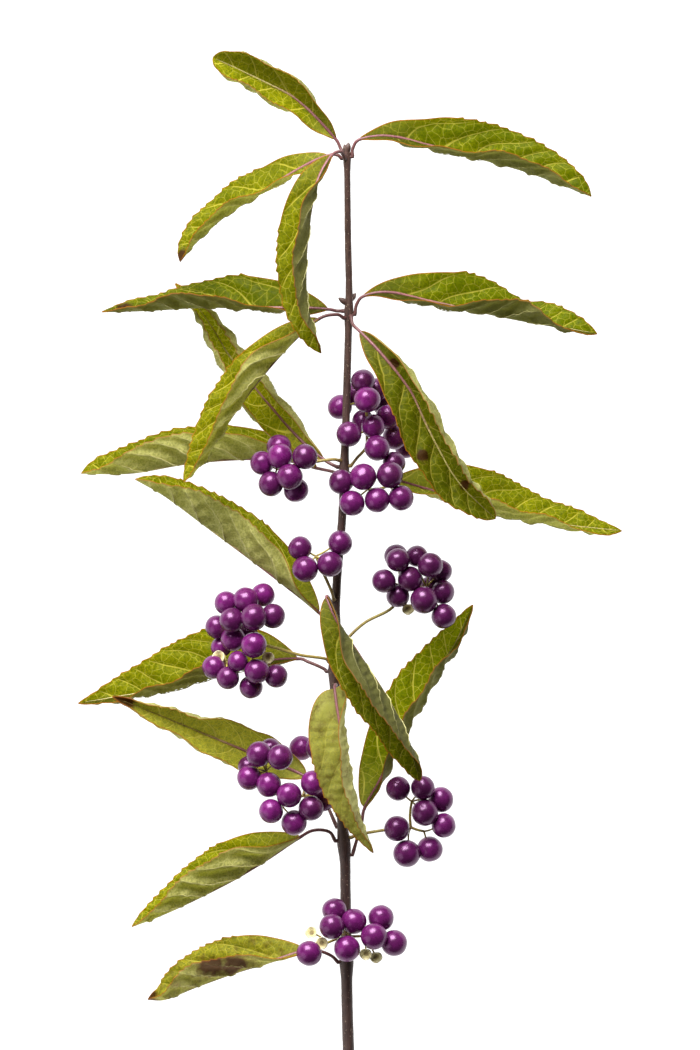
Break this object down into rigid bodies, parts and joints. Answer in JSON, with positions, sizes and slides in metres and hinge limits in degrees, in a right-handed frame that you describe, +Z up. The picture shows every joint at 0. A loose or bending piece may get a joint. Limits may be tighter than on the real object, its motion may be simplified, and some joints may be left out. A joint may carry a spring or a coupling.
{
  "type": "beautyberry sprig",
  "caption": "Cut beautyberry sprig lying down: a slender woody stem with folded, toothed leaves and bunches of glossy purple berries in the leaf axils.",
  "frame": {"origin": "middle of the sprig's box, on the floor it lies on", "axes": "+Y along the stem from the cut end to the top, +Z up from the floor, +X to the right as seen from above"},
  "size_m": [0.0987, 0.1827, 0.0351],
  "materials": {
    "bark": "thin brown-purple bark with pale lenticels",
    "leaf": "thin satin leaf blade, yellow-green above and sage below",
    "berry": "glossy violet-purple fruit skin on olive stalks"
  },
  "bodies": {
    "root": {"stem": "bark", "leaf_top_rear_left": "leaf", "leaf_top_left": "leaf", "leaf_top_front": "leaf", "leaf_top_right": "leaf", "leaf_second_left": "leaf", "leaf_second_right": "leaf", "leaf_second_front_left": "leaf", "leaf_second_front_right": "leaf", "leaf_third_rising": "leaf", "leaf_third_left": "leaf", "leaf_third_right": "leaf", "leaf_fourth_rising": "leaf", "leaf_fourth_front": "leaf", "leaf_fifth_left": "leaf", "leaf_fifth_front": "leaf", "leaf_sixth_rising": "leaf", "leaf_sixth_right": "leaf", "leaf_sixth_left": "leaf", "leaf_seventh_left": "leaf", "bunch_third_right_upper": "berry", "bunch_third_right_lower": "berry", "bunch_third_left": "berry", "bunch_fourth_front": "berry", "bunch_fourth_right": "berry", "bunch_fifth_left": "berry", "bunch_sixth_left": "berry", "bunch_sixth_right": "berry", "bunch_seventh_front": "berry"}
  },
  "joints": []
}
